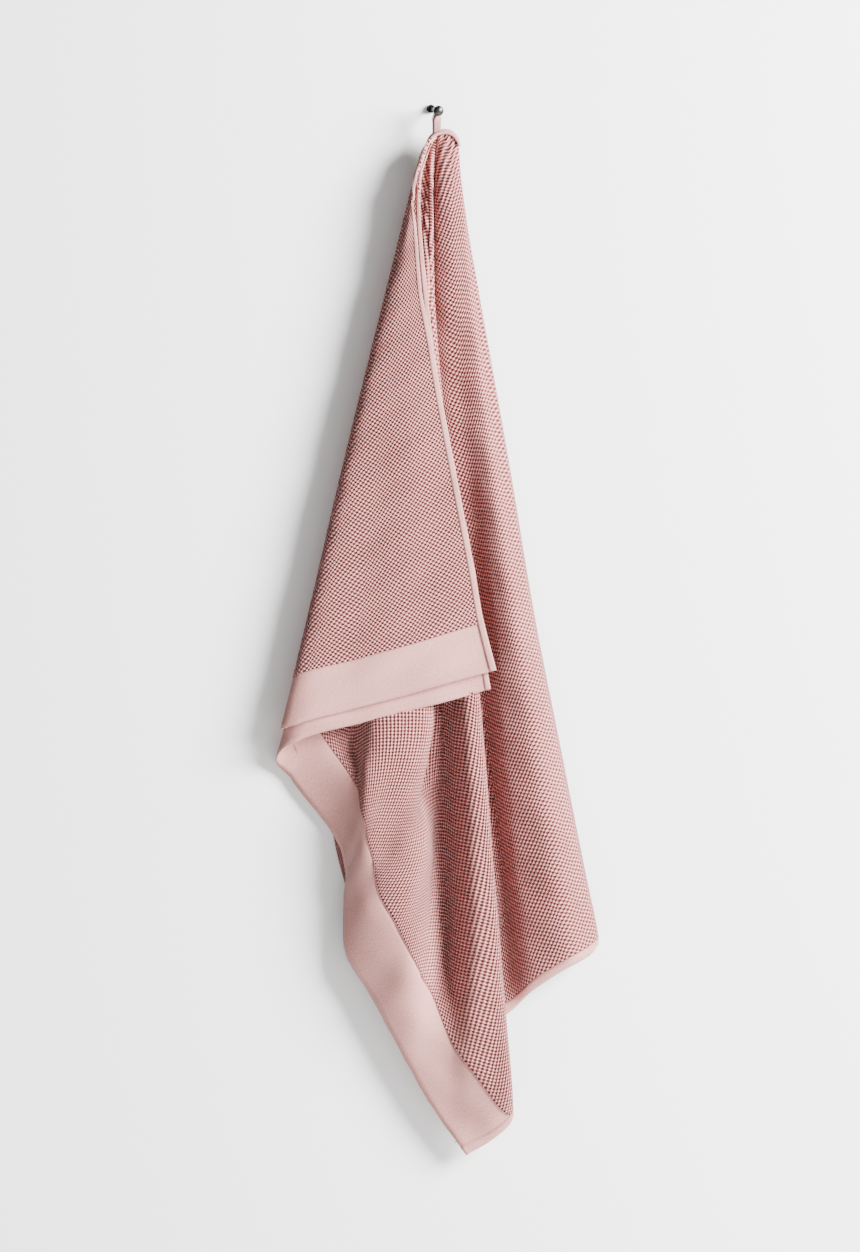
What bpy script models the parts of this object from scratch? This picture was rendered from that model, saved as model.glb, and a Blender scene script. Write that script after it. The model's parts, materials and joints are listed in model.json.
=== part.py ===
"""A bath towel hung by its tape loop from a small wall peg, folded over once to the front.

Metres, +Z up. The wall is the plane Y = 0, the room is on its -Y side, and the origin is the
middle of the peg's plate, where it meets the wall.

The towel is one rectangle of cloth with the loop sewn to the middle of one long side. Hung up,
its two halves lie on each other and every fold runs out of the loop. A spot on the flat towel
is therefore given by its distance from the loop and its turn, the angle at the loop between it
and the towel's middle line. A hung panel says where each turn lies: how far aside it leaves the
loop, and the angle from plumb at which it hangs.
"""

import math

import bpy
from mathutils import Vector

# The flat towel
TOWEL_LENGTH = 1.5
TOWEL_WIDTH = 1.0
END_BAND = 0.068
SIDE_HEM = 0.012
# The hung length of half a side hem, as a share of its flat length
HEM_TAKE_UP = 0.88
# How much lower the inner flap's corner hangs than the outer one's
CORNER_STEP = 0.0225

# The layers, counted from the wall
WALL_CLEARANCE = 0.006
RIGHT_PANEL_DEPTH = 0.020
FRONT_PANEL_DEPTH = 0.0195
FLAP_DEPTH = 0.0075
LAYER_GAP = 0.0006
SEAM_GAP = 0.0004
# The share of a corner's two edges' common normal below which drawn_in moves it no further
SHARPEST_CORNER = 0.4

# The peg
PLATE_RADIUS = 0.0055
PLATE_THICKNESS = 0.004
PLATE_TAPER = 0.9
STEM_RADIUS = 0.002
KNOB_RADIUS = 0.0065
KNOB_THICKNESS = 0.007
PEG_REACH = 0.045
PEG_LEAN_SIDE = 0.0092
PEG_LEAN_DOWN = 0.0055
PEG_FIT = 0.0004
ROUND_SIDES = 32
KNOB_RINGS = 16

# The loop and the gathered hem under it
LOOP_DEPTH_FROM_WALL = 0.034
LOOP_LENGTH = 0.030
TAPE_WIDTH = 0.009
TAPE_THICKNESS = 0.0014
LOOP_CLEARANCE = 0.0014
ARCH_STEPS = 12
TOP_HEM_HEIGHT = 0.008
TOP_HEM_ROUNDING = 0.002
TOP_HEM_LEFT = 0.0105
TOP_HEM_RIGHT = 0.026
TOP_INNER_LEFT = -0.004
TOP_INNER_RIGHT = -0.002

# Where each turn of a panel hangs: turn and angle in degrees, start in metres right of the loop
RIGHT_PANEL = (
    (0.0, 0.018, 10.1),
    (10.8, 0.016, 9.9),
    (15.4, 0.014, 8.6),
    (22.5, 0.008, 3.9),
    (28.0, 0.002, 1.0),
)
FRONT_PANEL = (
    (34.3, -0.005, 4.7),
    (36.87, -0.006, 1.9),
    (48.8, -0.009, -6.1),
    (55.8, -0.010, -6.5),
    (59.7, -0.011, -7.6),
    (72.2, -0.012, -13.6),
)
END_SPOTS = 9
FLAP_FOLD = FRONT_PANEL[-1]
FLAP_FOLD_REACH = 0.737
FLAP_FOLD_STEP = 0.0135
# The flap's free side: share of its length, and angle from plumb
FLAP_SIDE = ((1.0, 6.4), (0.79, 4.8), (0.49, 1.1), (0.29, -5.4), (0.16, -12.5))
INNER_FLAP_SWING = -0.8
# How far below the side hem's upper end the flap meets its fold
HEM_TOP_STEP = 0.004

# Looks: colour, roughness, metallic
CLOTH = ((0.62, 0.40, 0.38), 0.95, 0.0)
BAND = ((0.72, 0.52, 0.49), 0.85, 0.0)
GUNMETAL = ((0.035, 0.033, 0.032), 0.35, 1.0)

RIGHT_BACK = WALL_CLEARANCE
FRONT_BACK = RIGHT_BACK + RIGHT_PANEL_DEPTH + LAYER_GAP
INNER_BACK = FRONT_BACK + FRONT_PANEL_DEPTH + LAYER_GAP
OUTER_BACK = INNER_BACK + FLAP_DEPTH + LAYER_GAP


def clear_scene():
    for obj in list(bpy.data.objects):
        bpy.data.objects.remove(obj, do_unlink=True)


def new_collection(name):
    collection = bpy.data.collections.new(name)
    bpy.context.scene.collection.children.link(collection)
    return collection


def finish_object(obj, name, colour, roughness, metallic):
    """Names the object, moves it to the towel's collection and gives it a material of its own."""
    for old in list(obj.users_collection):
        old.objects.unlink(obj)
    COLLECTION.objects.link(obj)
    obj.name = name
    material = bpy.data.materials.new(name)
    material.use_nodes = True
    shader = material.node_tree.nodes["Principled BSDF"]
    shader.inputs["Base Color"].default_value = (*colour, 1.0)
    shader.inputs["Roughness"].default_value = roughness
    shader.inputs["Metallic"].default_value = metallic
    obj.data.materials.clear()
    obj.data.materials.append(material)
    return obj


def stem_point(depth):
    """The middle of the peg's stem at this distance from the wall."""
    share = depth / PEG_REACH
    return Vector((PEG_LEAN_SIDE * share, -depth, -PEG_LEAN_DOWN * share))


LOOP_CENTRE = stem_point(LOOP_DEPTH_FROM_WALL)
LOOP_FOOT = LOOP_CENTRE - Vector((0.0, 0.0, LOOP_LENGTH))


def hung(start, angle, reach):
    """The spot, as (x, z), that lies this far along a straight fold out of the loop's foot."""
    lean = math.radians(angle)
    return Vector((LOOP_FOOT.x + start + reach * math.sin(lean), LOOP_FOOT.z - reach * math.cos(lean)))


def between(rows, turn):
    """The start and the angle at this turn, read straight between a panel's rows."""
    low, high = rows[0], rows[-1]
    for first, second in zip(rows, rows[1:]):
        if first[0] <= turn <= second[0]:
            low, high = first, second
    share = (turn - low[0]) / (high[0] - low[0])
    return tuple(a + (b - a) * share for a, b in zip(low[1:], high[1:]))


def along_far_side(rows, turns, inset=0.0):
    """Spots on the long side away from the loop, or this far inside it."""
    return [hung(*between(rows, t), (TOWEL_WIDTH - inset) / math.cos(math.radians(t))) for t in turns]


def along_end(rows, turns, inset=0.0):
    """Spots on the towel's short end, or this far inside it."""
    half = TOWEL_LENGTH / 2 - inset
    return [hung(*between(rows, t), half / math.sin(math.radians(t))) for t in turns]


def turns_between(first, last, count):
    return [first + (last - first) * i / (count - 1) for i in range(count)]


def far_corner_turn(inset):
    """The turn at which the line this far inside the short end meets the far long side."""
    return math.degrees(math.atan2(TOWEL_LENGTH / 2 - inset, TOWEL_WIDTH))


def drawn_in(outline, distance):
    """The outline moved inwards by this distance, for the gap that two neighbours keep."""
    area = sum(a.x * b.y - b.x * a.y for a, b in zip(outline, outline[1:] + outline[:1]))
    side = 1.0 if area > 0 else -1.0
    moved = []
    for before, here, after in zip(outline[-1:] + outline[:-1], outline, outline[1:] + outline[:1]):
        first = (here - before).normalized()
        second = (after - here).normalized()
        first_normal = Vector((-first.y, first.x)) * side
        second_normal = Vector((-second.y, second.x)) * side
        middle = (first_normal + second_normal).normalized()
        stretch = max(middle.dot(first_normal), SHARPEST_CORNER)
        moved.append(here + middle * distance / stretch)
    return moved


def cloth_slab(name, outline, back, depth, looks):
    """A flat layer of cloth: an outline in X and Z, standing this far from the wall."""
    points = drawn_in(outline, SEAM_GAP / 2)
    curve = bpy.data.curves.new(name, "CURVE")
    curve.dimensions = "2D"
    curve.fill_mode = "BOTH"
    curve.extrude = depth / 2
    spline = curve.splines.new("POLY")
    spline.points.add(len(points) - 1)
    for slot, spot in zip(spline.points, points):
        slot.co = (spot.x, spot.y, 0.0, 1.0)
    spline.use_cyclic_u = True
    obj = bpy.data.objects.new(name, curve)
    COLLECTION.objects.link(obj)
    obj.rotation_euler = (math.pi / 2, 0.0, 0.0)
    obj.location = (0.0, -back - depth / 2, 0.0)
    return finish_object(obj, name, *looks)


def turned(name, start, end, radius, end_radius, looks):
    """A round solid from one point to another, straight or tapered."""
    run = end - start
    bpy.ops.mesh.primitive_cone_add(
        vertices=ROUND_SIDES, radius1=radius, radius2=end_radius, depth=run.length, location=(start + end) / 2
    )
    obj = bpy.context.object
    obj.rotation_euler = run.to_track_quat("Z", "Y").to_euler()
    return finish_object(obj, name, *looks)


def make_peg():
    turned(
        "wall_plate",
        Vector((0.0, 0.0, 0.0)),
        Vector((0.0, -PLATE_THICKNESS, 0.0)),
        PLATE_RADIUS,
        PLATE_RADIUS * PLATE_TAPER,
        GUNMETAL,
    )
    knob_back = PEG_REACH - KNOB_THICKNESS / 2
    lean = math.hypot(PEG_LEAN_SIDE, PEG_LEAN_DOWN) / PEG_REACH
    plate_end = PLATE_THICKNESS + PEG_FIT + STEM_RADIUS * lean
    stem_end = stem_point(knob_back - PEG_FIT)
    turned("peg_stem", stem_point(plate_end), stem_end, STEM_RADIUS, STEM_RADIUS, GUNMETAL)
    bpy.ops.mesh.primitive_uv_sphere_add(segments=ROUND_SIDES, ring_count=KNOB_RINGS, radius=KNOB_RADIUS)
    knob = bpy.context.object
    axis = (stem_point(PEG_REACH) - stem_point(0.0)).normalized()
    knob.scale = (1.0, 1.0, KNOB_THICKNESS / 2 / KNOB_RADIUS)
    knob.rotation_euler = axis.to_track_quat("Z", "Y").to_euler()
    knob.location = stem_point(PEG_REACH)
    finish_object(knob, "peg_knob", *GUNMETAL)


def make_loop():
    """The tape as an arch over the stem, its two legs sewn into the gathered hem."""
    inner = STEM_RADIUS + LOOP_CLEARANCE
    middle = inner + TAPE_THICKNESS / 2
    leg = LOOP_LENGTH - TOP_HEM_HEIGHT / 2 - SEAM_GAP
    path = [Vector((middle, -leg))]
    for i in range(ARCH_STEPS + 1):
        a = math.pi * i / ARCH_STEPS
        path.append(Vector((middle * math.cos(a), middle * math.sin(a))))
    path.append(Vector((-middle, -leg)))
    mesh = bpy.data.meshes.new("hanging_loop")
    near = LOOP_CENTRE.y - TAPE_WIDTH / 2
    verts = []
    for spot in path:
        for y in (near, near + TAPE_WIDTH):
            verts.append((LOOP_CENTRE.x + spot.x, y, LOOP_CENTRE.z + spot.y))
    faces = [(2 * i, 2 * i + 1, 2 * i + 3, 2 * i + 2) for i in range(len(path) - 1)]
    mesh.from_pydata(verts, [], faces)
    obj = bpy.data.objects.new("hanging_loop", mesh)
    COLLECTION.objects.link(obj)
    solid = obj.modifiers.new("tape", "SOLIDIFY")
    solid.thickness = TAPE_THICKNESS
    solid.offset = 0.0
    solid.use_even_offset = True
    finish_object(obj, "hanging_loop", *BAND)


def make_top_hem():
    """The middle of the near long side, gathered into a short round roll on the axis it lifts about."""
    left = LOOP_FOOT - Vector((TOP_HEM_LEFT, 0.0, 0.0))
    right = LOOP_FOOT + Vector((TOP_HEM_RIGHT, 0.0, 0.0))
    obj = turned("top_hem", left, right, TOP_HEM_HEIGHT / 2, TOP_HEM_HEIGHT / 2, BAND)
    bevel = obj.modifiers.new("round_ends", "BEVEL")
    bevel.limit_method = "ANGLE"
    bevel.width = TOP_HEM_ROUNDING
    bevel.segments = 3


def top_edge(left, right):
    """The two upper corners of a panel, just under the gathered hem, right one first."""
    z = LOOP_FOOT.z - TOP_HEM_HEIGHT / 2 - SEAM_GAP
    return [Vector((LOOP_FOOT.x + right, z)), Vector((LOOP_FOOT.x + left, z))]


def make_right_panel():
    turns = [row[0] for row in RIGHT_PANEL]
    inner = along_far_side(RIGHT_PANEL, turns, SIDE_HEM)
    outer = along_far_side(RIGHT_PANEL, turns)
    panel = top_edge(TOP_INNER_LEFT, TOP_HEM_RIGHT) + inner[::-1]
    cloth_slab("right_panel", panel, RIGHT_BACK, RIGHT_PANEL_DEPTH, CLOTH)
    cloth_slab("far_side_hem", inner + outer[::-1], RIGHT_BACK, RIGHT_PANEL_DEPTH, BAND)


def make_front_panel():
    fold = FLAP_FOLD[0]
    band_end = far_corner_turn(END_BAND)
    corner = far_corner_turn(0.0)
    inner = along_end(FRONT_PANEL, turns_between(band_end, fold, END_SPOTS), END_BAND)
    first = FRONT_PANEL[0][0]
    hem = along_far_side(FRONT_PANEL, [first]) if band_end > first else []
    panel = top_edge(FLAP_FOLD[1], TOP_INNER_RIGHT) + inner[::-1] + hem
    cloth_slab("front_panel", panel, FRONT_BACK, FRONT_PANEL_DEPTH, CLOTH)
    outer = along_end(FRONT_PANEL, turns_between(corner, fold, END_SPOTS))
    cloth_slab("lower_end_band", inner + outer[::-1], FRONT_BACK, FRONT_PANEL_DEPTH, BAND)


def make_flap(layer, back, swing, side_step, fold_step):
    """One layer of the flap that is folded over to the front, with its end band and side hem."""
    length = TOWEL_LENGTH / 2 * HEM_TAKE_UP + side_step
    start, angle = FLAP_FOLD[1:]
    fold_end = hung(start, angle, FLAP_FOLD_REACH + fold_step)
    fold_band = hung(start, angle, FLAP_FOLD_REACH + fold_step - END_BAND)
    side = [hung(0.0, lean + swing, length * share) for share, lean in FLAP_SIDE]
    band_top = side[0] + (side[1] - side[0]).normalized() * END_BAND
    across = (fold_end - side[0]).normalized() * SIDE_HEM
    inner_side = [band_top + across] + [spot + across for spot in side[1:]]
    fold_top = hung(start, angle, LOOP_FOOT.z - side[-1].y + HEM_TOP_STEP)
    field = [fold_top, fold_band] + inner_side
    cloth_slab(f"{layer}_flap", field, back, FLAP_DEPTH, CLOTH)
    band = [fold_band, fold_end, side[0], band_top, inner_side[0]]
    cloth_slab(f"{layer}_end_band", band, back, FLAP_DEPTH, BAND)
    hem = [band_top] + side[1:] + inner_side[::-1]
    cloth_slab(f"{layer}_side_hem", hem, back, FLAP_DEPTH, BAND)


clear_scene()
COLLECTION = new_collection("hung_bath_towel")
make_peg()
make_loop()
make_top_hem()
make_right_panel()
make_front_panel()
make_flap("inner", INNER_BACK, INNER_FLAP_SWING, CORNER_STEP, FLAP_FOLD_STEP)
make_flap("outer", OUTER_BACK, 0.0, 0.0, 0.0)
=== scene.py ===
"""The looks of a bath towel that hangs by its tape loop from a wall peg, folded over to the front.

The towel is one rectangle of cloth, U along its long sides and V from the loop's side to the far
one, in metres. Hung up, its folds run out of the loop, so a spot is found by its distance from
the loop and its turn, the angle at the loop between it and the towel's middle line. A fold is a
line of spots at one turn, given by where it runs: millimetres to the right of the loop's foot,
millimetres below it, and millimetres out from the wall.
"""

import json
import math

import bpy
import numpy as np
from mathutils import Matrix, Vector


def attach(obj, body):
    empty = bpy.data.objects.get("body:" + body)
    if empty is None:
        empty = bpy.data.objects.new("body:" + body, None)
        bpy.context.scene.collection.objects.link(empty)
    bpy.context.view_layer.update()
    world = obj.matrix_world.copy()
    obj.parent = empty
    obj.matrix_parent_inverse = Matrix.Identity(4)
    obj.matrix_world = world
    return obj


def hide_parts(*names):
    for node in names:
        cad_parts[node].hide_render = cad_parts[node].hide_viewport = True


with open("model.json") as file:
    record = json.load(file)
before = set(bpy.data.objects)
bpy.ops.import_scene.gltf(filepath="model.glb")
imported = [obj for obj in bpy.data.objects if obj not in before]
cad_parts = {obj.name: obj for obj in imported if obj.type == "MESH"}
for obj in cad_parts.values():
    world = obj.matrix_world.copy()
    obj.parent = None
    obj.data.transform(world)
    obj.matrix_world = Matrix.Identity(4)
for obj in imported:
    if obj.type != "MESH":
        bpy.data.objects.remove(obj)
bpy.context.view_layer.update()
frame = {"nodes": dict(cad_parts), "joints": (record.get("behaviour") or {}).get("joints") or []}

# The flat towel, as the CAD model has it
HALF_LENGTH = 0.75
WIDTH = 1.0
END_BAND = 0.068
SIDE_HEM = 0.012
CORNER_TURN = math.degrees(math.atan2(HALF_LENGTH, WIDTH))

FIELD_THICKNESS = 0.0036
BAND_THICKNESS = 0.0024
HEM_THICKNESS = 0.0044
SEAM_OVERLAP = 0.002

LOOP_ARCH = 0.0034
TAPE_WIDTH = 0.009
TAPE_THICKNESS = 0.0013
LEG_APART = 0.0011
TWIST_FROM = 0.014
TWIST_RISE = 0.014
STITCH_PITCH = 0.0034
STITCH_LENGTH = 0.0024
STITCH_WIDTH = 0.0007
STITCH_HEIGHT = 0.0003
HEM_STITCH_INSET = 0.0025
END_STITCH_INSET = 0.008
BAND_STITCH_INSET = 0.0015

# The weaves: one pit of the waffle along U and along V, a thread of the bands, and the tape's twill
PIT_PITCH_U = 0.0062
PIT_PITCH_V = 0.0057
THREAD_PITCH = 0.0011
TWILL_PITCH = 0.0012

# The room and the camera. The wall stands just clear of the peg's plate
WALL_GAP = 0.0015
FLOOR_DROP = 1.9
ROOM_SIZE = 8.0
LIGHT_AIM = Vector((0.0, 0.0, -0.6))
CAMERA_DISTANCE = 9.0
VIEW_HEIGHT = 1.532
VIEW_CENTRE = Vector((-0.0012, -0.035, -0.6352))

joints = {joint["name"]: joint for joint in frame["joints"]}
FOOT = Vector(joints["towel_lift"]["pos_m"])
STEM = Vector(joints["loop_swing"]["pos_m"])

# Each fold: its turn, then its route. Turns run from the inner flap's free side, by the
# towel's middle line, to the outer flap's free side, which is at -90.
FOLDS = (
    (90.0, ((0, 0, 34), (-6, 6, 40), (-15, 29, 44), (-21, 51, 46), (-21, 76, 48), (-16, 147, 50),
            (-6, 240, 51), (4, 322, 52), (38, 521, 52), (66, 678, 52))),
    (84.0, ((0, 0, 34), (-8, 12, 40), (-20, 51, 45), (-24, 110, 48), (-23, 240, 51), (-17, 400, 53),
            (-6, 600, 53), (-2, 697, 53))),
    (76.0, ((0, 0, 33), (-10, 14, 38), (-22, 51, 42), (-31, 110, 46), (-46, 240, 49), (-61, 400, 50),
            (-83, 620, 50), (-93, 720, 50))),
    (70.5, ((0, 0, 32), (-11, 16, 36), (-24, 51, 39), (-34, 110, 42), (-61, 240, 45), (-94, 400, 46),
            (-142, 620, 46), (-170, 742, 45))),
    (67.5, ((0, 0, 31), (-12, 16, 33), (-23, 51, 34), (-35, 110, 35), (-65, 240, 36), (-103, 400, 36),
            (-153, 620, 36), (-197, 766, 16))),
    (65.0, ((0, 0, 30), (-10, 16, 31), (-21, 51, 31), (-32, 110, 31), (-60, 240, 30), (-95, 400, 29),
            (-140, 600, 26), (-147, 726, 19), (-180, 786, 8))),
    (60.0, ((0, 0, 30), (-8, 16, 30), (-17, 51, 30), (-24, 110, 31), (-40, 240, 33), (-62, 400, 35),
            (-92, 600, 30), (-104, 740, 18), (-101, 796, 36), (-126, 858, 8))),
    (56.0, ((0, 0, 30), (-6, 16, 30), (-12, 51, 31), (-17, 110, 33), (-30, 240, 36), (-45, 400, 39),
            (-64, 600, 41), (-78, 740, 48), (-92, 838, 54), (-112, 898, 16))),
    (53.0, ((0, 0, 31), (-5, 16, 32), (-9, 51, 34), (-13, 110, 36), (-21, 240, 39), (-28, 400, 42),
            (-34, 600, 45), (-40, 740, 52), (-88, 872, 56), (-113, 932, 20))),
    (50.5, ((0, 0, 31), (-3, 16, 32), (-5, 51, 33), (-7, 110, 35), (-7, 240, 38), (-8, 400, 40),
            (-8, 600, 42), (-13, 740, 48), (-62, 872, 62), (-86, 908, 54), (-114, 965, 24))),
    (48.0, ((0, 0, 31), (-4, 16, 30), (-7, 51, 29), (-11, 110, 29), (-19, 240, 31), (-22, 400, 31),
            (-20, 600, 28), (-11, 740, 30), (-38, 868, 66), (-77, 940, 58), (-111, 1003, 28))),
    (45.5, ((0, 0, 30), (-5, 16, 28), (-9, 51, 27), (-15, 110, 26), (-29, 240, 28), (-44, 400, 28),
            (-60, 600, 22), (-46, 740, 18), (-16, 868, 58), (-55, 980, 62), (-84, 1048, 31))),
    (43.0, ((0, 0, 30), (-4, 16, 26), (-8, 51, 24), (-13, 110, 22), (-23, 240, 22), (-31, 400, 20),
            (-38, 600, 17), (-30, 740, 15), (-8, 868, 34), (-32, 1004, 64), (-62, 1089, 32))),
    (41.0, ((0, 0, 30), (-3, 16, 24), (-7, 51, 19), (-10, 110, 17), (-13, 240, 17), (-11, 400, 16),
            (-6, 600, 15), (0, 740, 15), (-4, 868, 20), (-12, 1000, 50), (-20, 1052, 52), (-40, 1130, 32))),
    (39.5, ((0, 0, 30), (-5, 14, 26), (-9, 51, 29), (-11, 110, 30), (-10, 240, 24), (-3, 400, 16),
            (5, 600, 14), (9, 740, 14), (9, 868, 15), (8, 1000, 18), (-4, 1083, 42), (-20, 1166, 30))),
    (38.0, ((0, 0, 31), (-5, 12, 32), (-8, 51, 36), (-8, 110, 37), (-8, 217, 35), (1, 400, 25),
            (17, 600, 18), (22, 740, 18), (24, 868, 19), (24, 1000, 22), (18, 1115, 44), (12, 1216, 28))),
    (CORNER_TURN, ((0, 0, 33), (-3, 12, 34), (-7, 51, 37), (-7, 110, 38), (-6, 217, 38), (5, 400, 36),
                   (28, 600, 40), (36, 740, 50), (40, 868, 59), (43, 1000, 60), (42, 1142, 54),
                   (36, 1249, 22))),
    (35.6, ((0, 0, 34), (-2, 10, 34), (-6, 51, 30), (-5, 110, 30), (-3, 217, 32), (11, 400, 36),
            (38, 600, 44), (51, 740, 54), (61, 868, 66), (72, 1000, 65), (72, 1160, 58), (64, 1232, 27))),
    (34.4, ((0, 0, 34), (-1, 8, 32), (-5, 51, 22), (-5, 110, 21), (-3, 217, 22), (14, 400, 32),
            (42, 600, 40), (58, 766, 51), (68, 900, 61), (80, 1040, 58), (90, 1160, 60), (91, 1206, 36))),
    (33.0, ((0, 0, 34), (1, 6, 34), (-4, 51, 24), (-4, 110, 22), (-4, 217, 20), (10, 400, 24),
            (34, 566, 27), (50, 766, 31), (60, 900, 35), (73, 1050, 38), (84, 1184, 36))),
    (25.0, ((0, 0, 34), (4, 4, 37), (4, 51, 37), (2, 110, 35), (1, 217, 28), (8, 400, 20),
            (17, 566, 13), (25, 766, 10), (35, 900, 9), (46, 1040, 11), (52, 1100, 12))),
    (21.0, ((0, 0, 34), (7, 3, 38), (11, 51, 40), (12, 110, 40), (12, 217, 35), (20, 400, 24),
            (29, 566, 13), (40, 766, 10), (52, 900, 9), (62, 1040, 11), (66, 1088, 12))),
    (18.4, ((0, 0, 34), (9, 2, 38), (16, 30, 40), (19, 110, 41), (24, 217, 38), (38, 400, 28),
            (53, 566, 16), (66, 766, 10), (80, 900, 9), (90, 1030, 10), (93, 1072, 12))),
    (15.7, ((0, 0, 34), (12, -1, 38), (20, 16, 39), (24, 70, 39), (35, 217, 39), (54, 400, 38),
            (71, 566, 36), (86, 766, 35), (101, 900, 34), (111, 980, 34), (116, 1018, 34),
            (119, 1035, 32), (121, 1044, 26))),
    (13.2, ((0, 0, 33), (13, -2, 36), (23, 10, 37), (28, 60, 36), (43, 217, 38), (66, 400, 43),
            (89, 566, 48), (118, 766, 52), (141, 900, 53), (152, 966, 53), (157, 994, 52),
            (160, 1009, 49), (161, 1017, 42))),
    (11.7, ((0, 0, 32), (13, -2, 33), (24, 8, 32), (29, 60, 32), (48, 217, 32), (76, 400, 36),
            (104, 566, 39), (140, 766, 43), (166, 900, 43), (178, 960, 43), (183, 984, 42),
            (185, 996, 39), (186, 1003, 33))),
    (10.6, ((0, 0, 31), (13, -2, 30), (24, 8, 28), (28, 52, 26), (38, 123, 25), (50, 192, 24),
            (85, 395, 24), (117, 590, 24), (152, 770, 24), (179, 903, 25), (195, 975, 26), (193, 995, 27))),
    (8.0, ((0, 0, 30), (12, -1, 27), (22, 9, 24), (26, 55, 19), (46, 195, 13), (80, 395, 9),
           (112, 590, 8), (146, 770, 7), (171, 903, 7), (184, 990, 8))),
    (0.0, ((0, 0, 29), (8, 0, 24), (13, 12, 18), (13, 60, 10), (20, 217, 5), (31, 400, 3.4),
           (43, 590, 3.4), (60, 766, 3.4), (84, 900, 3.4), (88, 985, 3.4))),
    (-8.0, ((0, 0, 28), (2, 2, 22), (-1, 14, 15), (-4, 60, 8), (-9, 217, 4), (-21, 400, 3.4),
            (-31, 590, 3.4), (-38, 766, 3.4), (-22, 900, 3.4), (-6, 982, 3.4))),
    (-15.0, ((0, 0, 28), (-4, 6, 22), (-9, 16, 16), (-18, 60, 9), (-41, 217, 6), (-82, 400, 5),
             (-122, 590, 5), (-144, 740, 5), (-122, 870, 5), (-96, 960, 5), (-88, 1016, 5))),
    (-22.0, ((0, 0, 27), (-3, 6, 23), (-6, 16, 18), (-9, 60, 11), (-14, 217, 7), (-30, 400, 7),
             (-46, 590, 7), (-62, 766, 7), (-72, 900, 7), (-62, 1056, 7))),
    (-30.0, ((0, 0, 27), (0, 6, 23), (1, 16, 18), (4, 60, 12), (14, 217, 8), (28, 400, 7),
             (40, 590, 7), (42, 766, 7), (25, 900, 7), (2, 1040, 7), (-6, 1122, 8))),
    (-38.0, ((0, 0, 28), (5, 5, 25), (9, 14, 20), (15, 60, 14), (34, 217, 10), (62, 400, 9),
             (88, 590, 9), (97, 766, 9), (88, 900, 9), (66, 1060, 10), (32, 1206, 15))),
    (-45.0, ((0, 0, 28), (0, 6, 24), (0, 16, 20), (3, 60, 15), (9, 217, 11), (13, 400, 10),
             (17, 590, 10), (20, 766, 10), (20, 900, 10), (4, 1042, 13))),
    (-52.0, ((0, 0, 28), (-3, 8, 24), (-6, 20, 21), (-7, 60, 17), (-15, 217, 12), (-31, 400, 10),
             (-46, 590, 10), (-53, 766, 10), (-52, 930, 10))),
    (-60.0, ((0, 0, 28), (-6, 11, 25), (-12, 26, 23), (-17, 60, 20), (-41, 217, 15), (-76, 400, 12),
             (-110, 590, 11), (-120, 720, 11), (-106, 846, 10))),
    (-65.5, ((0, 0, 28), (-8, 13, 27), (-16, 29, 25), (-23, 60, 22), (-54, 217, 17), (-97, 400, 15),
             (-138, 590, 14), (-156, 700, 12), (-144, 800, 9))),
    (-68.6, ((0, 0, 29), (-9, 14, 30), (-18, 30, 29), (-27, 60, 29), (-65, 217, 26), (-109, 400, 25),
             (-153, 590, 23), (-182, 735, 18))),
    (-70.8, ((0, 0, 30), (-11, 14, 33), (-19, 30, 34), (-28, 60, 36), (-67, 217, 38), (-112, 400, 39),
             (-156, 590, 40), (-190, 728, 40))),
    (-72.6, ((0, 0, 32), (-12, 13, 38), (-20, 30, 41), (-28, 66, 44), (-62, 217, 48), (-103, 400, 51),
             (-144, 590, 51), (-172, 722, 51))),
    (-76.8, ((0, 0, 34), (-12, 12, 42), (-20, 32, 46), (-29, 70, 50), (-49, 217, 55), (-73, 400, 58),
             (-94, 590, 57), (-115, 706, 56))),
    (-82.5, ((0, 0, 35), (-11, 11, 44), (-19, 33, 48), (-29, 74, 52), (-32, 217, 58), (-32, 400, 63),
             (-30, 590, 62), (-35, 685, 60))),
    (-90.0, ((0, 0, 36), (-9, 9, 45), (-15, 22, 49), (-29, 76, 53), (-24, 124, 55), (-18, 193, 57),
             (-6, 252, 58), (6, 322, 59), (44, 521, 60), (56, 589, 60), (73, 655, 60))),
)

# Ripples in the cloth, each by its waves per metre of U and of V, and where it starts
RIPPLES = ((9.0, 3.0, 0.3), (-6.0, 8.0, 1.7), (15.0, -5.0, 4.0), (4.0, 13.0, 2.2), (21.0, 9.0, 5.1))
RIPPLE_HEIGHT = 0.0005

# The mesh: spots along a fold's route, the widest gap between columns, and rows from loop to edge
ROUTE_STEPS = 400
FOLD_STEP = 0.007
FIELD_ROWS = 190
BAND_ROWS = 12
FIRST_SHARE = 0.004

# Below this far from the loop the loft spreads the cloth sideways, so its weave is drawn finer
SPREAD_NEAR = 0.06
SPREAD_FAR = 0.32
SPREAD = 0.9

# Ripples fade out in the layers that lie close behind one another at the wall
RIPPLE_CLEAR = 0.018
RIPPLE_FADE = 0.02


def spline(points, places):
    """Points read off a smooth curve through the given ones, at places counted in points."""
    low = np.clip(np.floor(places).astype(int), 0, len(points) - 2)
    share = (places - low)[:, None]
    before = points[np.maximum(low - 1, 0)]
    first = points[low]
    second = points[low + 1]
    after = points[np.minimum(low + 2, len(points) - 1)]
    return 0.5 * (
        2 * first
        + (second - before) * share
        + (2 * before - 5 * first + 4 * second - after) * share**2
        + (3 * first - before - 3 * second + after) * share**3
    )


def flat_reach(turn, inset=0.0):
    """How far the towel's edge, or the line this far inside it, is from the loop at this turn."""
    lean = np.radians(np.abs(turn))
    end = (HALF_LENGTH - inset) / np.maximum(np.sin(lean), 1e-6)
    far = (WIDTH - inset) / np.maximum(np.cos(lean), 1e-6)
    return np.minimum(end, far)


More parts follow.
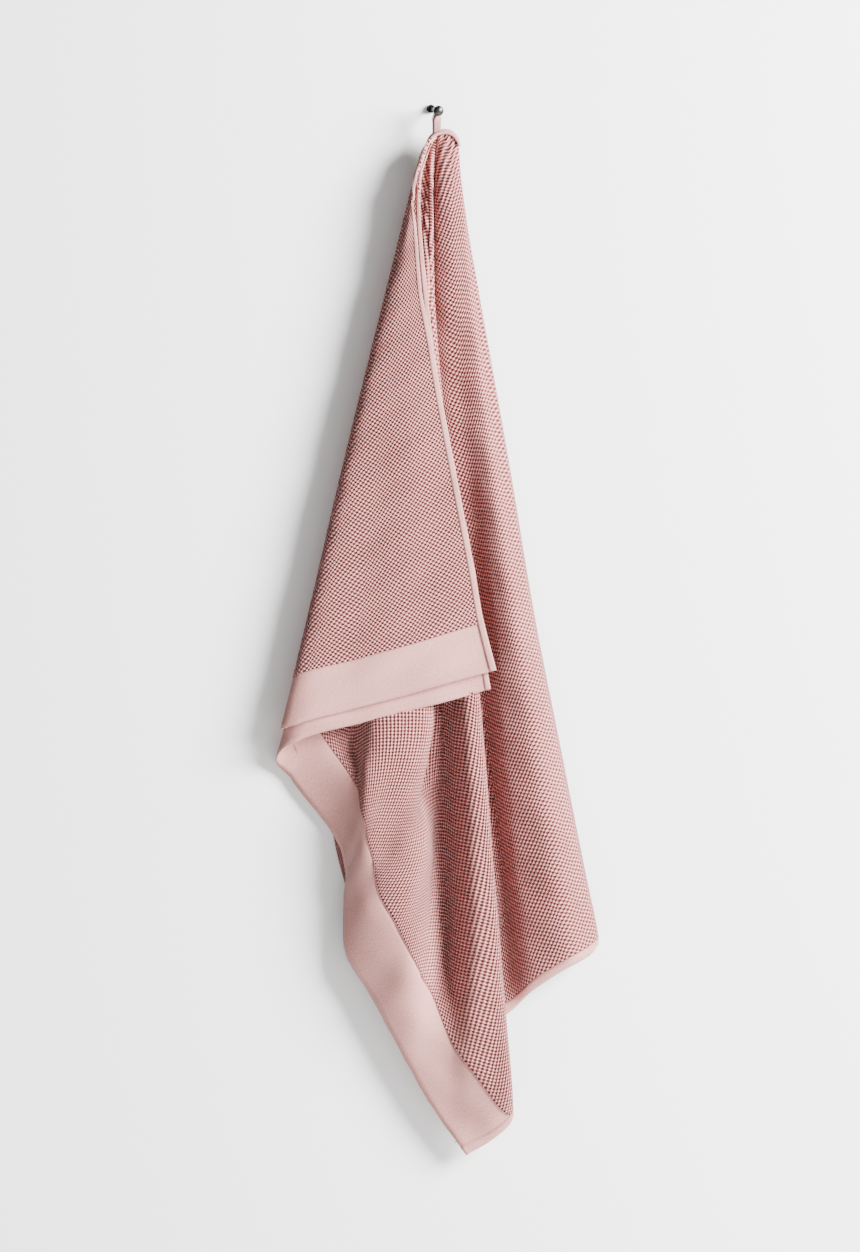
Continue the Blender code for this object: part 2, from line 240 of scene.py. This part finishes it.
class Fold:
    """One fold's route, read by distance from the loop along the cloth."""

    def __init__(self, turn, route):
        self.turn = turn
        x, drop, out = np.array(route, float).T / 1000
        spots = np.stack([FOOT.x + x, -out, FOOT.z - drop], axis=-1)
        dense = spline(spots, np.linspace(0, len(spots) - 1, ROUTE_STEPS))
        run = np.concatenate([[0.0], np.cumsum(np.linalg.norm(np.diff(dense, axis=0), axis=1))])
        self.reach = run * float(flat_reach(turn)) / run[-1]
        self.spots = dense
        self.heading = (dense[-1] - dense[-6]) / (self.reach[-1] - self.reach[-6])

    def at(self, reach):
        inside = np.stack([np.interp(reach, self.reach, self.spots[:, k]) for k in range(3)], axis=-1)
        beyond = np.maximum(reach - self.reach[-1], 0.0)[..., None]
        return inside + beyond * self.heading


folds = [Fold(turn, route) for turn, route in FOLDS]
turns_of_folds = np.array([fold.turn for fold in folds])


def hung(place, reach):
    """Where the towel's spots lie in the room. A place counts folds and parts of the way to the next."""
    low = np.clip(np.floor(place).astype(int), 0, len(folds) - 2)
    share = (place - low)[..., None]
    spots = np.zeros(np.shape(place) + (3,))
    for k in range(len(folds) - 1):
        chosen = low == k
        if not chosen.any():
            continue
        r = reach[chosen]
        t = share[chosen]
        before = folds[max(k - 1, 0)].at(r)
        first = folds[k].at(r)
        second = folds[k + 1].at(r)
        after = folds[min(k + 2, len(folds) - 1)].at(r)
        spots[chosen] = 0.5 * (
            2 * first
            + (second - before) * t
            + (2 * before - 5 * first + 4 * second - after) * t**2
            + (3 * first - before - 3 * second + after) * t**3
        )
    front = smooth_step((-spots[..., 1] - RIPPLE_CLEAR) / RIPPLE_FADE)
    spots[..., 1] -= ripple(turn_at(place), reach) * front
    return spots


def ripple(turn, reach):
    """Slight unevenness of hanging cloth, by where it is on the flat towel."""
    u = reach * np.sin(np.radians(turn))
    v = reach * np.cos(np.radians(turn))
    waves = [np.sin(2 * math.pi * (across * u + along * v) + start) for across, along, start in RIPPLES]
    return RIPPLE_HEIGHT * np.sum(waves, axis=0)


def turn_at(place):
    return np.interp(place, np.arange(len(folds)), turns_of_folds)


def place_of(turn):
    """The place of a turn, which falls from 90 to -90 as places rise."""
    return np.interp(-np.asarray(turn, float), -turns_of_folds, np.arange(len(folds)))


def flat_to_room(u, v):
    """Where a spot of the flat towel hangs."""
    turn = np.degrees(np.arctan2(u, np.maximum(v, 0.0)))
    return hung(place_of(turn), np.hypot(u, v))


def column_places():
    """Places for the mesh's columns, closer together where the folds turn sharply."""
    places = []
    far_out = np.array([0.9 * WIDTH])
    for k in range(len(folds) - 1):
        wide = np.linalg.norm(folds[k].at(far_out) - folds[k + 1].at(far_out))
        count = max(3, int(math.ceil(wide / FOLD_STEP)))
        places.extend(k + np.arange(count) / count)
    places.append(len(folds) - 1.0)
    return np.array(places)


def grid_faces(rows, columns):
    index = np.arange(rows * columns).reshape(rows, columns)
    corners = [index[:-1, :-1], index[:-1, 1:], index[1:, 1:], index[1:, :-1]]
    return np.stack(corners, axis=-1).reshape(-1, 4)


def sheet_mesh(name, spots, u, v, thickness, material):
    """A sheet of cloth from a grid of spots, with U and V in metres as the UV map its weave follows."""
    rows, columns = u.shape
    mesh = bpy.data.meshes.new(name)
    mesh.from_pydata(spots.reshape(-1, 3).tolist(), [], grid_faces(rows, columns).tolist())
    layer = mesh.uv_layers.new(name="UVMap")
    loops = np.zeros(len(mesh.loops), int)
    mesh.loops.foreach_get("vertex_index", loops)
    flat = np.stack([u.reshape(-1), v.reshape(-1)], axis=-1)[loops]
    layer.data.foreach_set("uv", flat.astype(np.float32).reshape(-1))
    mesh.polygons.foreach_set("use_smooth", [True] * len(mesh.polygons))
    obj = bpy.data.objects.new(name, mesh)
    bpy.context.scene.collection.objects.link(obj)
    obj.data.materials.append(material)
    solid = obj.modifiers.new("thickness", "SOLIDIFY")
    solid.thickness = thickness
    solid.offset = 0.0
    return obj


def ribbon(name, points, sideways, width, thickness, material, across=5):
    """A strip of tape along a smooth curve; sideways gives the way its width lies at each point."""
    places = np.linspace(0, len(points) - 1, 12 * len(points))
    middle = spline(np.array(points, float), places)
    side = spline(np.array(sideways, float), places)
    side /= np.linalg.norm(side, axis=1, keepdims=True)
    run = np.concatenate([[0.0], np.cumsum(np.linalg.norm(np.diff(middle, axis=0), axis=1))])
    offset = np.linspace(-width / 2, width / 2, across)
    spots = middle[:, None, :] + side[:, None, :] * offset[None, :, None]
    u, v = np.meshgrid(run, offset, indexing="ij")
    return sheet_mesh(name, spots, u, v, thickness, material)


def stitch_rows(name, rows, depths, material):
    """Rows of short stitches on both faces of the cloth, each row between two spots of the flat towel."""
    vertices, faces, flats = [], [], []
    for (start, end), depth in zip(rows, depths):
        start, end = np.array(start), np.array(end)
        length = float(np.linalg.norm(end - start))
        along = (end - start) / length
        across = np.array([-along[1], along[0]])
        heads = np.arange(STITCH_PITCH / 2, length - STITCH_PITCH, STITCH_PITCH)
        flat = start + heads[:, None] * along
        tail = flat + STITCH_LENGTH * along
        head_spots = flat_to_room(flat[:, 0], flat[:, 1])
        tail_spots = flat_to_room(tail[:, 0], tail[:, 1])
        beside = flat + 0.001 * across
        side = flat_to_room(beside[:, 0], beside[:, 1]) - head_spots
        side /= np.linalg.norm(side, axis=1, keepdims=True)
        out = np.cross(tail_spots - head_spots, side)
        out /= np.linalg.norm(out, axis=1, keepdims=True)
        for face in (-1, 1):
            for k in range(len(flat)):
                base = len(vertices)
                low = out[k] * face * (depth / 2 - STITCH_HEIGHT)
                high = out[k] * face * (depth / 2 + STITCH_HEIGHT)
                half = side[k] * STITCH_WIDTH / 2
                run = tail_spots[k] - head_spots[k]
                ring = (-half, half)
                vertices.extend(head_spots[k] + low + edge for edge in ring)
                vertices.extend(head_spots[k] + run * 0.25 + high + edge * 0.7 for edge in ring)
                vertices.extend(head_spots[k] + run * 0.75 + high + edge * 0.7 for edge in ring)
                vertices.extend(tail_spots[k] + low + edge for edge in ring)
                for a, b, c, d in ((0, 1, 3, 2), (2, 3, 5, 4), (4, 5, 7, 6), (6, 7, 1, 0)):
                    faces.append((base + a, base + b, base + c, base + d))
                faces.append((base, base + 2, base + 4, base + 6))
                faces.append((base + 1, base + 7, base + 5, base + 3))
                flats.extend([flat[k]] * 8)
    mesh = bpy.data.meshes.new(name)
    mesh.from_pydata([tuple(v) for v in vertices], [], faces)
    mesh.uv_layers.new(name="UVMap")
    loops = np.zeros(len(mesh.loops), int)
    mesh.loops.foreach_get("vertex_index", loops)
    mesh.uv_layers["UVMap"].data.foreach_set("uv", np.array(flats, np.float32)[loops].reshape(-1))
    obj = bpy.data.objects.new(name, mesh)
    bpy.context.scene.collection.objects.link(obj)
    obj.data.materials.append(material)
    return obj


def smooth_step(x):
    x = np.clip(x, 0.0, 1.0)
    return x * x * (3 - 2 * x)


def make_loop():
    """Tape sewn flat to the towel, its legs turning a quarter to pass over the peg's stem.

    A leg's points are each its distance from the loop's middle and its height above the foot.
    """
    leg = ((0.0006, -0.004), (0.0007, 0.002), (0.0008, 0.009), (0.0011, 0.017), (0.0028, 0.0250),
           (0.0032, 0.0295))
    top = (0.0, STEM.z - FOOT.z + LOOP_ARCH)
    points, sideways = [], []
    for side, run in ((-1, leg), (0, (top,)), (1, leg[::-1])):
        for x, height in run:
            turned = math.radians(90.0) * smooth_step((height - TWIST_FROM) / TWIST_RISE)
            apart = side * LEG_APART * math.cos(turned)
            points.append((FOOT.x + side * x, FOOT.y - apart, FOOT.z + height))
            sideways.append((math.cos(turned), math.sin(turned), 0.0))
    return ribbon("loop_tape", points, sideways, TAPE_WIDTH, TAPE_THICKNESS, TAPE)


def make_top_roll():
    """The near hem where it rolls over the top of the hung bundle."""
    route = ((-0.0125, 0.0145), (-0.0090, 0.0060), (-0.0045, 0.0010), (0.0005, -0.0020), (0.0070, -0.0038),
             (0.0150, -0.0032), (0.0212, 0.0004), (0.0260, 0.0072), (0.0275, 0.0125))
    points = [(FOOT.x + x, FOOT.y - 0.003, FOOT.z - drop) for x, drop in route]
    sideways = [(0.0, 1.0, 0.42)] * len(route)
    return ribbon("top_hem_roll", points, sideways, SIDE_HEM, HEM_THICKNESS * 0.7, FLAT_WEAVE)


# Materials

def new_material(name, colour, roughness, metallic=0.0, sheen=0.0):
    material = bpy.data.materials.new(name)
    material.use_nodes = True
    shader = material.node_tree.nodes["Principled BSDF"]
    shader.inputs["Base Color"].default_value = (*colour, 1.0)
    shader.inputs["Roughness"].default_value = roughness
    shader.inputs["Metallic"].default_value = metallic
    shader.inputs["Sheen Weight"].default_value = sheen
    return material, material.node_tree, shader


def math_node(tree, operation, a, b=None):
    node = tree.nodes.new("ShaderNodeMath")
    node.operation = operation
    for socket, value in zip(node.inputs, (a, b)):
        if value is None:
            continue
        if isinstance(value, (int, float)):
            socket.default_value = value
        else:
            tree.links.new(value, socket)
    return node.outputs[0]


def noise_node(tree, vector, scale, detail=2.0):
    node = tree.nodes.new("ShaderNodeTexNoise")
    node.inputs["Scale"].default_value = scale
    node.inputs["Detail"].default_value = detail
    tree.links.new(vector, node.inputs["Vector"])
    return node.outputs["Fac"]


def mix_colours(tree, share, first, second):
    node = tree.nodes.new("ShaderNodeMix")
    node.data_type = "RGBA"
    tree.links.new(share, node.inputs["Factor"])
    for socket, value in ((node.inputs[6], first), (node.inputs[7], second)):
        if isinstance(value, tuple):
            socket.default_value = (*value, 1.0)
        else:
            tree.links.new(value, socket)
    return node.outputs[2]


def ramp(tree, value, low, high):
    node = tree.nodes.new("ShaderNodeMapRange")
    node.interpolation_type = "SMOOTHSTEP"
    node.inputs["From Min"].default_value = low
    node.inputs["From Max"].default_value = high
    tree.links.new(value, node.inputs["Value"])
    return node.outputs["Result"]


def flat_coordinates(tree):
    uv = tree.nodes.new("ShaderNodeUVMap")
    uv.uv_map = "UVMap"
    parts = tree.nodes.new("ShaderNodeSeparateXYZ")
    tree.links.new(uv.outputs["UV"], parts.inputs["Vector"])
    return uv.outputs["UV"], parts.outputs["X"], parts.outputs["Y"]


def wave(tree, coordinate, pitch):
    return math_node(tree, "COSINE", math_node(tree, "MULTIPLY", coordinate, 2 * math.pi / pitch))


def bump(tree, shader, height, distance, strength=1.0):
    node = tree.nodes.new("ShaderNodeBump")
    node.inputs["Distance"].default_value = distance
    node.inputs["Strength"].default_value = strength
    tree.links.new(height, node.inputs["Height"])
    tree.links.new(node.outputs["Normal"], shader.inputs["Normal"])


def waffle_material():
    """Terry with a grid of small pits, every other row set over by half a pitch. Its colour has painted
    shade in the pits and on the slopes, and painted light on the crests.
    """
    material, tree, shader = new_material("waffle_cloth", (0.45, 0.2, 0.185), 0.95, sheen=0.06)
    vector, u, v = flat_coordinates(tree)
    uneven = math_node(tree, "SUBTRACT", noise_node(tree, vector, 60.0), 0.5)
    drift = math_node(tree, "MULTIPLY", uneven, 0.0016)
    across = wave(tree, math_node(tree, "ADD", u, drift), PIT_PITCH_U)
    along = wave(tree, math_node(tree, "ADD", v, drift), PIT_PITCH_V)
    cell = math_node(tree, "MULTIPLY", across, along)
    fuzz = math_node(tree, "SUBTRACT", noise_node(tree, vector, 700.0, 3.0), 0.5)
    rough_cell = math_node(tree, "ADD", cell, math_node(tree, "MULTIPLY", fuzz, 1.1))
    # Painted shade: the pits are coloured near black, where shade falls in them
    painted_pit_shade = ramp(tree, rough_cell, 0.1, 0.5)
    # Painted light: the crests between the pits are coloured lighter, where light falls on them
    painted_crest_light = ramp(tree, rough_cell, 0.1, -0.6)
    dyed = ramp(tree, noise_node(tree, vector, 7.0), 0.3, 0.7)
    # Painted shade on the slopes between crest and pit, mixed with a random dyed tone
    dyed_slope_painted_shade = mix_colours(tree, dyed, (0.31, 0.080, 0.074), (0.37, 0.106, 0.098))
    painted_crest_light_over_slope_shade = mix_colours(tree, painted_crest_light, dyed_slope_painted_shade, (0.66, 0.27, 0.25))
    colour = mix_colours(tree, painted_pit_shade, painted_crest_light_over_slope_shade, (0.055, 0.006, 0.006))
    tree.links.new(colour, shader.inputs["Base Color"])
    raised = math_node(tree, "MULTIPLY", rough_cell, -0.5)
    height = math_node(tree, "ADD", raised, math_node(tree, "MULTIPLY", fuzz, 0.4))
    bump(tree, shader, height, 0.003)
    return material


def flat_weave_material():
    """Smooth plain weave with fine ribs across the band and a little slub."""
    material, tree, shader = new_material("flat_weave", (0.5, 0.29, 0.26), 0.85, sheen=0.15)
    vector, u, v = flat_coordinates(tree)
    weave = math_node(tree, "MULTIPLY", wave(tree, u, THREAD_PITCH), wave(tree, v, THREAD_PITCH))
    stretch = tree.nodes.new("ShaderNodeMapping")
    stretch.inputs["Scale"].default_value = (1100.0, 300.0, 1.0)
    tree.links.new(vector, stretch.inputs["Vector"])
    slub = noise_node(tree, stretch.outputs["Vector"], 1.0, 2.0)
    dyed = ramp(tree, noise_node(tree, vector, 9.0), 0.3, 0.7)
    soft = mix_colours(tree, dyed, (0.41, 0.166, 0.147), (0.46, 0.20, 0.18))
    colour = mix_colours(tree, ramp(tree, slub, 0.35, 0.75), soft, (0.54, 0.275, 0.25))
    tree.links.new(colour, shader.inputs["Base Color"])
    height = math_node(tree, "ADD", math_node(tree, "MULTIPLY", weave, 0.3), slub)
    bump(tree, shader, height, 0.0003, 0.6)
    return material


def tape_material():
    """Herringbone-like twill, whose fine ridges run across the tape."""
    material, tree, shader = new_material("loop_tape", (0.45, 0.23, 0.21), 0.8, sheen=0.1)
    vector, u, v = flat_coordinates(tree)
    twill = wave(tree, math_node(tree, "ADD", u, math_node(tree, "ABSOLUTE", v)), TWILL_PITCH)
    shade = ramp(tree, twill, -1.0, 1.0)
    colour = mix_colours(tree, shade, (0.36, 0.16, 0.145), (0.50, 0.27, 0.25))
    tree.links.new(colour, shader.inputs["Base Color"])
    bump(tree, shader, shade, 0.0003)
    return material


def thread_material():
    """Sewing thread, a touch darker than the weave it lies in."""
    material, tree, shader = new_material("thread", (0.42, 0.2, 0.18), 0.6)
    vector, u, v = flat_coordinates(tree)
    tone = ramp(tree, noise_node(tree, vector, 40.0), 0.3, 0.7)
    colour = mix_colours(tree, tone, (0.38, 0.17, 0.155), (0.47, 0.24, 0.22))
    tree.links.new(colour, shader.inputs["Base Color"])
    bump(tree, shader, noise_node(tree, vector, 2500.0), 0.0001)
    return material


def metal_material():
    material, tree, shader = new_material("gunmetal", (0.04, 0.038, 0.036), 0.3, metallic=1.0)
    place = tree.nodes.new("ShaderNodeTexCoord")
    smudge = ramp(tree, noise_node(tree, place.outputs["Object"], 400.0, 3.0), 0.3, 0.7)
    colour = mix_colours(tree, smudge, (0.03, 0.028, 0.027), (0.075, 0.07, 0.066))
    tree.links.new(colour, shader.inputs["Base Color"])
    duller = math_node(tree, "MULTIPLY", smudge, 0.15)
    tree.links.new(math_node(tree, "ADD", duller, 0.22), shader.inputs["Roughness"])
    return material


WAFFLE = waffle_material()
FLAT_WEAVE = flat_weave_material()
METAL = metal_material()
TAPE = tape_material()
THREAD = thread_material()


# The towel

def make_cloth(name, places, first, last, rows, thickness, material):
    """Cloth that runs from one distance from the loop to another at each place.

    U grows faster near the loop, where the folds spread the cloth sideways, so the weave
    stays fine there.
    """
    reach = first + np.linspace(0.0, 1.0, rows)[:, None] * (last - first)
    place = np.repeat(places[None, :], rows, axis=0)
    turn = np.radians(turn_at(places))[None, :]
    near_loop = 1.0 - smooth_step((reach - SPREAD_NEAR) / (SPREAD_FAR - SPREAD_NEAR))
    u = reach * np.sin(turn) * (1.0 + SPREAD * near_loop * np.cos(turn) ** 2)
    return sheet_mesh(name, hung(place, reach), u, reach * np.cos(turn), thickness, material)


def make_field():
    """The waffle cloth between the end bands and the hems."""
    places = column_places()
    lean = np.radians(np.abs(turn_at(places)))
    end = (HALF_LENGTH - END_BAND + SEAM_OVERLAP) / np.maximum(np.sin(lean), 1e-6)
    far = (WIDTH - SIDE_HEM + SEAM_OVERLAP) / np.maximum(np.cos(lean), 1e-6)
    last = np.minimum(end, far)
    return make_cloth("towel_field", places, FIRST_SHARE * last, last, FIELD_ROWS, FIELD_THICKNESS, WAFFLE)


def make_end_band(name, side):
    """The flat-woven band along one short end, side 1 or -1 for which half of the towel."""
    inner_corner = math.degrees(math.atan2(HALF_LENGTH - END_BAND, WIDTH))
    places = column_places()
    chosen = turn_at(places) * side > inner_corner
    places = np.sort(np.concatenate([places[chosen], place_of([inner_corner * side])]))
    turns = turn_at(places)
    first = (HALF_LENGTH - END_BAND) / np.sin(np.radians(np.abs(turns)))
    return make_cloth(name, places, first, flat_reach(turns), BAND_ROWS, BAND_THICKNESS, FLAT_WEAVE)


def make_side_hem(name, v_first, v_last):
    """A hem strip along a long side."""
    u = np.linspace(-HALF_LENGTH, HALF_LENGTH, 401)
    v = np.linspace(v_first, v_last, 4)
    uu, vv = np.meshgrid(u, v)
    return sheet_mesh(name, flat_to_room(uu, vv), uu, vv, HEM_THICKNESS, FLAT_WEAVE)


field = make_field()
inner_band = make_end_band("end_band_inner", 1)
outer_band = make_end_band("end_band_outer", -1)
near_hem = make_side_hem("side_hem_near", 0.0, SIDE_HEM)
far_hem = make_side_hem("side_hem_far", WIDTH - SIDE_HEM, WIDTH)
top_roll = make_top_roll()

# Stitches hold the hems, the turned ends and the bands' seams
near_line = SIDE_HEM - HEM_STITCH_INSET
far_line = WIDTH - near_line
end_line = HALF_LENGTH - END_STITCH_INSET
band_line = HALF_LENGTH - END_BAND + BAND_STITCH_INSET
rows = [((-HALF_LENGTH, v), (HALF_LENGTH, v)) for v in (near_line, far_line)]
for side in (-1, 1):
    rows.append(((side * end_line, 0.0), (side * end_line, WIDTH)))
    rows.append(((side * band_line, SIDE_HEM), (side * band_line, WIDTH - SIDE_HEM)))
depths = [HEM_THICKNESS] * 2 + [BAND_THICKNESS, FIELD_THICKNESS] * 2
stitching = stitch_rows("stitching", rows, depths, THREAD)
towel_pieces = (field, inner_band, outer_band, near_hem, far_hem, top_roll, stitching)
for piece in towel_pieces:
    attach(piece, "towel")

loop_tape = make_loop()
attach(loop_tape, "loop")
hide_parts("hanging_loop")

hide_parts("right_panel", "front_panel", "inner_flap", "outer_flap")
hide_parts("inner_end_band", "lower_end_band")
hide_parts("outer_end_band")
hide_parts("inner_side_hem", "outer_side_hem")
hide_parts("top_hem")
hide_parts("far_side_hem")

for name in ("wall_plate", "peg_stem", "peg_knob"):
    node = frame["nodes"][name]
    node.data.materials.clear()
    node.data.materials.append(METAL)


# Room, lights and camera

def stage_plane(name, location, rotation, colour):
    bpy.ops.mesh.primitive_plane_add(size=ROOM_SIZE, location=location, rotation=rotation)
    plane = bpy.context.object
    plane.name = name
    material, tree, shader = new_material(name, colour, 0.9)
    plane.data.materials.append(material)
    return plane, tree, shader


wall, wall_tree, wall_shader = stage_plane(
    "room_wall", (0.0, WALL_GAP, 0.0), (math.pi / 2, 0.0, 0.0), (0.88, 0.88, 0.878)
)
# The wall is seen from the room only, so that the towel's back can be looked at too
see_through = wall_tree.nodes.new("ShaderNodeBsdfTransparent")
from_behind = wall_tree.nodes.new("ShaderNodeNewGeometry").outputs["Backfacing"]
either = wall_tree.nodes.new("ShaderNodeMixShader")
wall_tree.links.new(from_behind, either.inputs["Fac"])
wall_tree.links.new(wall_shader.outputs["BSDF"], either.inputs[1])
wall_tree.links.new(see_through.outputs["BSDF"], either.inputs[2])
wall_tree.links.new(either.outputs["Shader"], wall_tree.nodes["Material Output"].inputs["Surface"])
wall.visible_shadow = False
wall.visible_diffuse = False
stage_plane("room_floor", (0.0, 0.0, -FLOOR_DROP), (0.0, 0.0, 0.0), (0.8, 0.8, 0.79))


def area_light(name, location, size, power):
    light = bpy.data.lights.new(name, "AREA")
    light.shape = "DISK"
    light.size = size
    light.energy = power
    obj = bpy.data.objects.new(name, light)
    obj.location = location
    obj.rotation_euler = (LIGHT_AIM - Vector(location)).to_track_quat("-Z", "Y").to_euler()
    bpy.context.scene.collection.objects.link(obj)


area_light("key_light", location=(3.3, -2.4, 0.9), size=2.3, power=1420.0)
area_light("back_light", location=(1.0, 3.0, 0.6), size=2.5, power=120.0)
world = bpy.data.worlds.new("studio")
bpy.context.scene.world = world
world.use_nodes = True
world.node_tree.nodes["Background"].inputs["Color"].default_value = (1.0, 1.0, 1.0, 1.0)
world.node_tree.nodes["Background"].inputs["Strength"].default_value = 0.08

camera_data = bpy.data.cameras.new("camera")
camera_data.sensor_fit = "VERTICAL"
camera_data.sensor_height = 36.0
camera_data.lens = camera_data.sensor_height * CAMERA_DISTANCE / VIEW_HEIGHT
camera = bpy.data.objects.new("camera", camera_data)
camera.location = VIEW_CENTRE - Vector((0.0, CAMERA_DISTANCE, 0.0))
camera.rotation_euler = (math.pi / 2, 0.0, 0.0)
bpy.context.scene.collection.objects.link(camera)
bpy.context.scene.camera = camera
